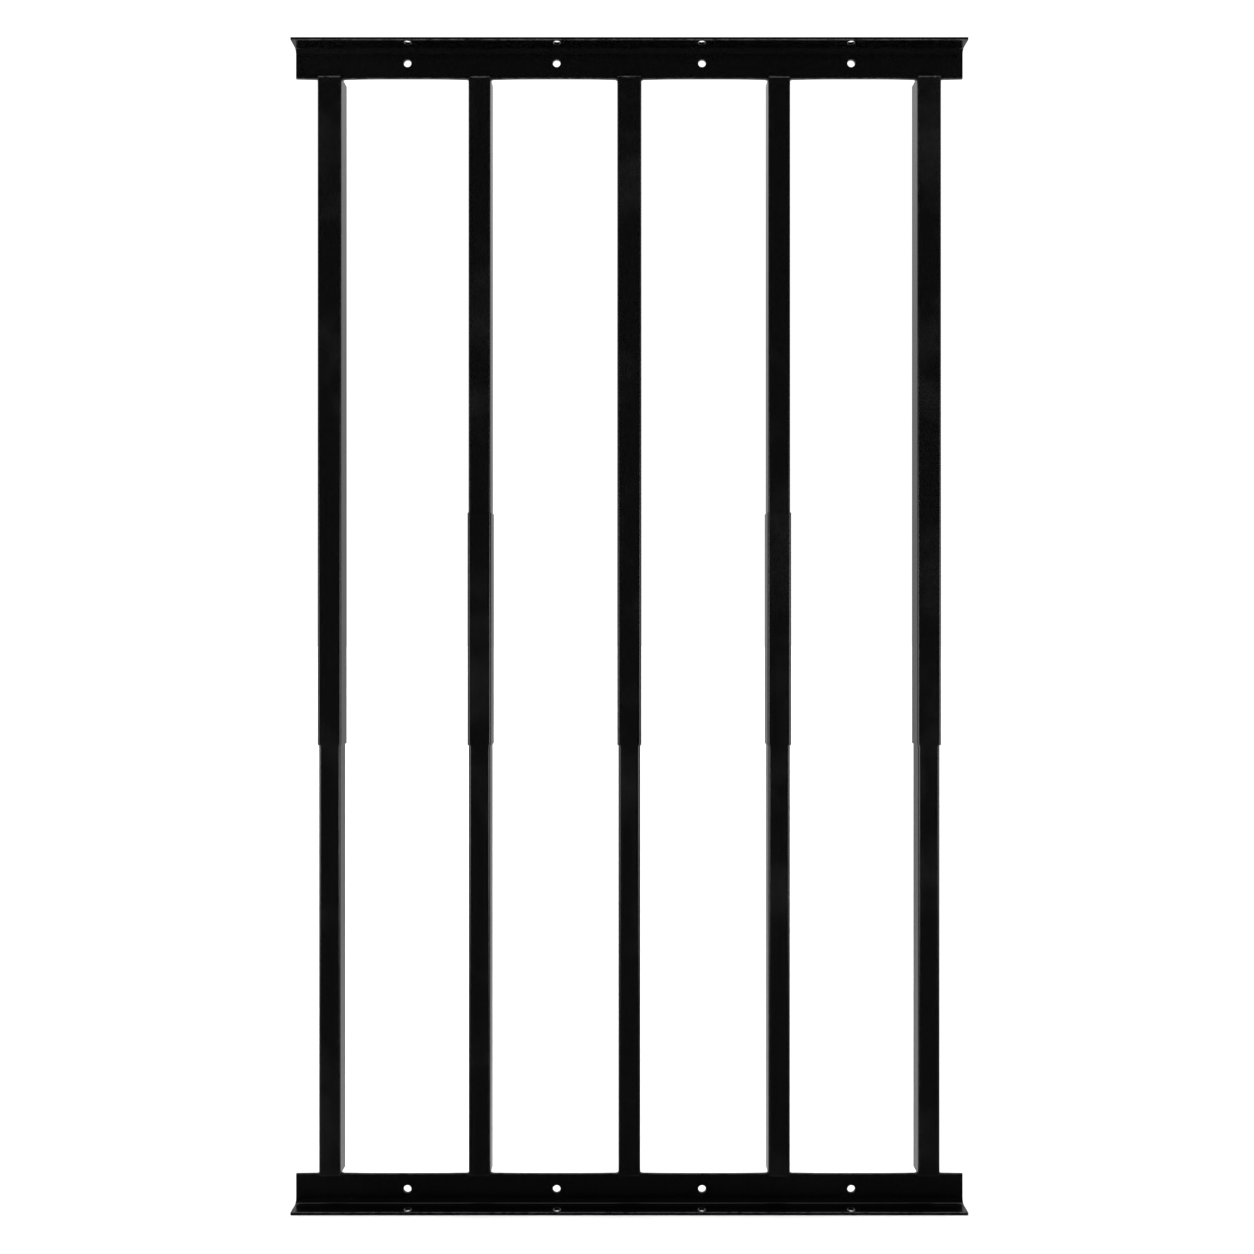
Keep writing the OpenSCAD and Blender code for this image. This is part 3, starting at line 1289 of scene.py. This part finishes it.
@dataclass
class Studio:
    """A pale floor, a white surround that is near dark in front, two softboxes and a camera.

    Angles are in degrees. softbox_aside and softbox_below place each softbox's middle as seen
    from the guard, and softbox_rim is the outer and the inner angle of its soft rim.
    """

    camera_place: tuple[float, float, float] = (-0.00215, -1.040, 0.5292)
    lens_mm: float = 32.87
    sensor_mm: float = 36.0
    floor_half: float = 30.0
    floor_drop: float = 0.0002
    floor_colour: tuple[float, float, float] = (0.9, 0.9, 0.89)
    floor_roughness: float = 0.85
    mottle: float = 0.04
    mottle_scale: float = 3.0
    white: float = 1.1
    straight_behind: float = 0.35
    round_the_plane: float = 1.7
    in_front: float = 0.027
    step_from: float = -0.32
    step_to: float = 0.35
    low_shift: float = 0.3
    low_power: float = 4.0
    softbox: float = 6.0
    softbox_aside: float = 45.0
    softbox_below: float = 4.0
    softbox_rim: tuple[float, float] = (13.0, 8.0)
    overhead: float = 2.6
    overhead_spread: float = 60.0
    overhead_height: float = 3.0
    clip: tuple[float, float] = (0.01, 200.0)

    def floor(self) -> bpy.types.Object:
        """A large pale plane just under the lower rail, with a faint mottle.

        Returns:
            The plane, kept out of reflections.
        """
        board = FinishBoard("Studio_Floor")
        paler = tuple(min(1.0, c + self.mottle) for c in self.floor_colour)
        mottle = board.remap(board.noise(self.mottle_scale, detail=3.0), (0.35, 0.65))
        board.link(board.blend(mottle, self.floor_colour, paler), board.shader.inputs["Base Color"])
        board.shader.inputs["Roughness"].default_value = self.floor_roughness
        size, z = self.floor_half, CAD_BOX[0].z - self.floor_drop
        mesh = bpy.data.meshes.new("Floor")
        corners = [(-size, -size, z), (size, -size, z), (size, size, z), (-size, size, z)]
        mesh.from_pydata(corners, [], [(0, 1, 2, 3)])
        mesh.materials.append(board.material)
        plane = bpy.data.objects.new("Floor", mesh)
        plane.visible_glossy = False
        bpy.context.scene.collection.objects.link(plane)
        return plane

    def sky(self) -> None:
        """The surround: soft white behind and beside the guard, near dark in front of it.

        For a direction's Y its strength is in_front plus a smooth step up across the guard's
        plane times (straight_behind + round_the_plane times 1 - Y squared), so that it is
        brightest round the plane. Below the guard the step lies further back, by low_shift
        times the low_power-th power of how steeply the direction goes down, because the floor
        under it is in shade. A round softbox stands at each side of the camera, where the
        cosine of the angle to its middle rises from that of the rim's outer angle to that
        of its inner one. What the camera sees of the surround is plain white.
        """
        world = bpy.data.worlds.new("Surround")
        world.use_nodes = True
        board = NodeBoard(world.node_tree)
        split = board.add("ShaderNodeSeparateXYZ")
        board.link(board.add("ShaderNodeTexCoord").outputs["Generated"], split.inputs[0])
        x, y, z = (split.outputs[axis] for axis in "XYZ")
        down = board.compute("MAXIMUM", board.compute("MULTIPLY", z, -1.0), 0.0)
        steep = board.compute("POWER", down, self.low_power)
        shift = board.compute("MULTIPLY", steep, self.low_shift)
        past = board.compute("SUBTRACT", y, shift)
        step = board.remap(past, (self.step_from, self.step_to), curve="SMOOTHSTEP")
        level = board.compute("SUBTRACT", 1.0, board.compute("MULTIPLY", y, y))
        ring = board.compute("MULTIPLY_ADD", level, self.round_the_plane, self.straight_behind)
        glow = board.compute("MULTIPLY_ADD", step, ring, self.in_front)
        aside, below = math.radians(self.softbox_aside), math.radians(self.softbox_below)
        rise = board.compute("MULTIPLY", z, -math.sin(below))
        ahead = board.compute("MULTIPLY_ADD", y, -math.cos(aside) * math.cos(below), rise)
        across = board.compute("ABSOLUTE", x)
        toward = board.compute("MULTIPLY_ADD", across, math.sin(aside) * math.cos(below), ahead)
        rim = tuple(math.cos(math.radians(a)) for a in self.softbox_rim)
        disc = board.remap(toward, rim, curve="SMOOTHSTEP")
        glow = board.compute("MULTIPLY_ADD", disc, self.softbox, glow)
        lit, seen = (board.add("ShaderNodeBackground") for _ in range(2))
        for background, strength in ((lit, glow), (seen, self.white)):
            board.put((1.0, 1.0, 1.0, 1.0), background.inputs["Color"])
            board.put(strength, background.inputs["Strength"])
        choose = board.add("ShaderNodeMixShader")
        board.link(board.add("ShaderNodeLightPath").outputs["Is Camera Ray"], choose.inputs["Fac"])
        board.link(lit.outputs[0], choose.inputs[1])
        board.link(seen.outputs[0], choose.inputs[2])
        output = board.add("ShaderNodeOutputWorld")
        board.link(choose.outputs[0], output.inputs["Surface"])
        bpy.context.scene.world = world

    def light(self, floor: bpy.types.Object) -> None:
        """One soft light from overhead, which whitens the floor and nothing else.

        Args:
            floor: the floor's object.
        """
        lamp = bpy.data.lights.new("Overhead", "SUN")
        lamp.energy = self.overhead
        lamp.angle = math.radians(self.overhead_spread)
        bulb = bpy.data.objects.new("Overhead", lamp)
        bulb.location = (0.0, 0.0, self.overhead_height)
        bpy.context.scene.collection.objects.link(bulb)
        lit_by_it = bpy.data.collections.new("Floor_Light")
        lit_by_it.objects.link(floor)
        bulb.light_linking.receiver_collection = lit_by_it

    def camera(self) -> None:
        """A level camera in front of the guard, looking along +Y."""
        data = bpy.data.cameras.new("Camera")
        data.lens, data.sensor_width = self.lens_mm, self.sensor_mm
        data.clip_start, data.clip_end = self.clip
        camera = bpy.data.objects.new("Camera", data)
        camera.location = self.camera_place
        camera.rotation_euler = (math.radians(90.0), 0.0, 0.0)
        bpy.context.scene.collection.objects.link(camera)
        bpy.context.scene.camera = camera

    def build(self) -> None:
        """Sets up everything that isn't part of the guard."""
        self.camera()
        self.sky()
        self.light(self.floor())
        bpy.context.scene.view_settings.view_transform = "Standard"
        log.info("studio ready")


def mixed_coats() -> dict[Coat, bpy.types.Material]:
    """Makes the material of each coat.

    Returns:
        The materials by coat.
    """
    coats = {
        # The rail coat paints highlights as a paler coat along the rounded toes, nose and flange
        # edge.
        Coat.RAIL: PowderCoat(
            "Rail_Coat",
            black=(0.0028, 0.0028, 0.0031),
            dust=0.04,
            pale_wear_and_highlight=(0.09, 0.09, 0.093),
            edge_wear_and_highlight=0.8,
            wear_and_highlight_from=(0.3, 0.6),
        ),
        # The tube coats pale the rounded corners, partly as worn coating and partly as painted
        # highlight.
        Coat.OUTER_TUBE: PowderCoat("Outer_Tube_Coat", draw_lines=0.08 * MM),
        Coat.INNER_TUBE: PowderCoat("Inner_Tube_Coat", rub=0.1, draw_lines=0.08 * MM),
        # The weld coat paints highlights as a paler coat on the beads' crests and ends.
        Coat.WELD: PowderCoat(
            "Weld_Coat",
            gloss=(0.16, 0.24),
            pale_wear_and_highlight=(0.05, 0.05, 0.053),
            edge_wear_and_highlight=1.0,
            wear_and_highlight_from=(0.2, 0.5),
        ),
    }
    return {coat: powder.build() for coat, powder in coats.items()}


def build_upper_bars(rail: Rail, radii: CornerRadii, coats: dict[Coat, bpy.types.Material]) -> None:
    """Builds the tubes and welds that move with the top rail.

    Bars 1, 3 and 5 have one outer tube. Bars 2 and 4 have a slimmer upper tube in a sleeve.

    Args:
        rail: the top rail.
        radii: the tubes' corner radii.
        coats: the material of each coat.
    """
    tubes: dict[int, Tube] = {}
    for bar in ONE_WIDTH_BARS:
        tubes[bar] = Tube(f"outer_tube_{bar}", Body.UPPER, Coat.OUTER_TUBE, radii.outer)
    for bar in SLEEVED_BARS:
        tubes[bar] = Tube(f"upper_tube_{bar}", Body.UPPER, Coat.OUTER_TUBE, radii.upper)
        Tube(f"sleeve_{bar}", Body.UPPER, Coat.OUTER_TUBE, radii.sleeve).dress(coats)
    for bar, tube in sorted(tubes.items()):
        tube.dress(coats)
        Weld(f"top_weld_{bar}", Body.UPPER, Coat.WELD, tube, rail, seed=bar).dress(coats)


def build_lower_bars(rail: Rail, radii: CornerRadii, coats: dict[Coat, bpy.types.Material]) -> None:
    """Builds the inner tubes and their welds, whose ledge beads are slighter than the top's.

    Args:
        rail: the bottom rail.
        radii: the tubes' corner radii.
        coats: the material of each coat.
    """
    for bar in BARS:
        tube = Tube(f"inner_tube_{bar}", Body.LOWER, Coat.INNER_TUBE, radii.inner)
        tube.dress(coats)
        # Each bottom weld has a faint painted highlight on its crest and a painted highlight at both
        # ends of each bead.
        Weld(
            f"bottom_weld_{bar}", Body.LOWER, Coat.WELD, tube, rail,
            seed=10 + bar, bulge=0.25 * MM, lap=0.3 * MM, crest_highlight=0.15, tip_highlight=1.0,
        ).dress(coats)


def main() -> None:
    """Builds the studio and every piece of the guard, in order."""
    logging.basicConfig(level=logging.INFO, format="%(name)s: %(message)s")
    Studio().build()
    coats = mixed_coats()
    lower_rail = Rail("bottom_rail", Body.LOWER, Coat.RAIL, pull=0.35 * MM)
    upper_rail = Rail("top_rail", Body.UPPER, Coat.RAIL, pull=0.55 * MM)
    for rail in (lower_rail, upper_rail):
        rail.dress(coats)
    radii = CornerRadii()
    build_upper_bars(upper_rail, radii, coats)
    build_lower_bars(lower_rail, radii, coats)


if __name__ == "__main__":
    main()
